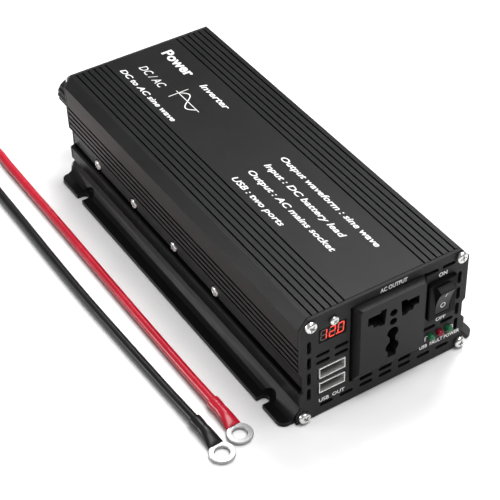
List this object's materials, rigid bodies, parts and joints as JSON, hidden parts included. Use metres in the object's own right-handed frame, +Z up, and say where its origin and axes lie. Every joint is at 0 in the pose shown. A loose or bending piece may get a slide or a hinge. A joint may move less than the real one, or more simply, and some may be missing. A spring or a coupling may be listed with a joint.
{
  "type": "power inverter",
  "caption": "Box-shaped DC to AC power inverter with finned case, slotted mounting flanges, universal outlet, rocker switch, USB ports, display and loose battery leads.",
  "frame": {"origin": "on the flat underside, at the middle of the case in width and length", "axes": "+X to the right seen from the front, +Y from the front panel to the rear panel, +Z up"},
  "size_m": [0.2031, 0.2906, 0.0584],
  "materials": {
    "anodised_case": "matte black anodised extrusion with a fine grain",
    "panel_paint": "matte black powder coat",
    "red_plastic": "moulded red plastic",
    "black_plastic": "fine-textured moulded plastic",
    "brass": "turned and plated brass",
    "tinned_copper": "bright tin plating",
    "zinc_plated_steel": "bright zinc plating",
    "circuit_board": "green solder mask",
    "ferrite": "sintered ferrite core with taped winding",
    "bare_aluminium": "as extruded",
    "red_cable_cover": "glossy flexible PVC",
    "black_cable_cover": "glossy flexible PVC",
    "red_lens": "diffused red lens",
    "green_lens": "diffused green lens",
    "dark_display": "dark tinted window"
  },
  "bodies": {
    "case": {"base_shell": "anodised_case", "fan_frame": "black_plastic", "front_board": "circuit_board", "front_panel": "panel_paint", "front_screw_lower_left": "zinc_plated_steel", "front_screw_lower_right": "zinc_plated_steel", "front_screw_upper_left": "zinc_plated_steel", "front_screw_upper_right": "zinc_plated_steel", "heat_bar": "bare_aluminium", "lead_negative": "black_cable_cover", "lead_negative_far_lug": "tinned_copper", "lead_negative_far_sleeve": "black_cable_cover", "lead_negative_front_lug": "tinned_copper", "lead_negative_front_sleeve": "black_cable_cover", "lead_positive": "red_cable_cover", "lead_positive_far_lug": "tinned_copper", "lead_positive_far_sleeve": "red_cable_cover", "lead_positive_front_lug": "tinned_copper", "lead_positive_front_sleeve": "red_cable_cover", "left_side_screw_1": "zinc_plated_steel", "left_side_screw_2": "zinc_plated_steel", "left_side_screw_3": "zinc_plated_steel", "left_side_screw_4": "zinc_plated_steel", "light_left": "green_lens", "light_middle": "red_lens", "light_right": "green_lens", "main_board": "circuit_board", "rear_panel": "panel_paint", "rear_screw_lower_left": "zinc_plated_steel", "rear_screw_lower_right": "zinc_plated_steel", "rear_screw_upper_left": "zinc_plated_steel", "rear_screw_upper_right": "zinc_plated_steel", "right_side_screw_1": "zinc_plated_steel", "right_side_screw_2": "zinc_plated_steel", "right_side_screw_3": "zinc_plated_steel", "right_side_screw_4": "zinc_plated_steel", "socket_body": "black_plastic", "socket_contact_earth": "brass", "socket_contact_live": "brass", "socket_contact_neutral": "brass", "socket_faceplate": "black_plastic", "switch_housing": "black_plastic", "terminal_insulator_negative": "black_plastic", "terminal_insulator_positive": "red_plastic", "terminal_stud_negative": "brass", "terminal_stud_positive": "brass", "top_shell": "anodised_case", "transformer": "ferrite", "usb_shell_lower": "zinc_plated_steel", "usb_shell_upper": "zinc_plated_steel", "usb_tongue_lower": "black_plastic", "usb_tongue_upper": "black_plastic", "voltmeter_module": "dark_display", "voltmeter_screw": "zinc_plated_steel"},
    "rocker": {"switch_rocker": "black_plastic"},
    "fan_rotor": {"fan_rotor": "black_plastic"},
    "clamp_washer_positive": {"terminal_washer_positive": "zinc_plated_steel"},
    "clamp_knob_positive": {"terminal_knob_positive": "red_plastic"},
    "clamp_washer_negative": {"terminal_washer_negative": "zinc_plated_steel"},
    "clamp_knob_negative": {"terminal_knob_negative": "black_plastic"}
  },
  "joints": [
    {"name": "rocker_tilt", "type": "hinge", "parent": "case", "child": "rocker", "pos_m": [0.0288, -0.105, 0.0369], "axis": [-1, 0, 0], "range_deg": [0, 28]},
    {"name": "fan_spin", "type": "hinge", "parent": "case", "child": "fan_rotor", "pos_m": [0, 0.0981, 0.0305], "axis": [0, 1, 0], "continuous": true},
    {"name": "washer_travel_positive", "type": "slide", "parent": "case", "child": "clamp_washer_positive", "axis": [0, 1, 0], "range_m": [0, 0.003]},
    {"name": "knob_turn_positive", "type": "hinge", "parent": "clamp_washer_positive", "child": "clamp_knob_positive", "pos_m": [0.033, 0.1042, 0.0387], "axis": [0, 1, 0], "range_deg": [0, 1080]},
    {"name": "washer_travel_negative", "type": "slide", "parent": "case", "child": "clamp_washer_negative", "axis": [0, 1, 0], "range_m": [0, 0.003]},
    {"name": "knob_turn_negative", "type": "hinge", "parent": "clamp_washer_negative", "child": "clamp_knob_negative", "pos_m": [-0.033, 0.1042, 0.0387], "axis": [0, 1, 0], "range_deg": [0, 1080]}
  ],
  "couplings": [
    {"joint": "knob_turn_positive", "follows": "washer_travel_positive", "rad_per_m": 6283.2},
    {"joint": "knob_turn_negative", "follows": "washer_travel_negative", "rad_per_m": 6283.2}
  ]
}
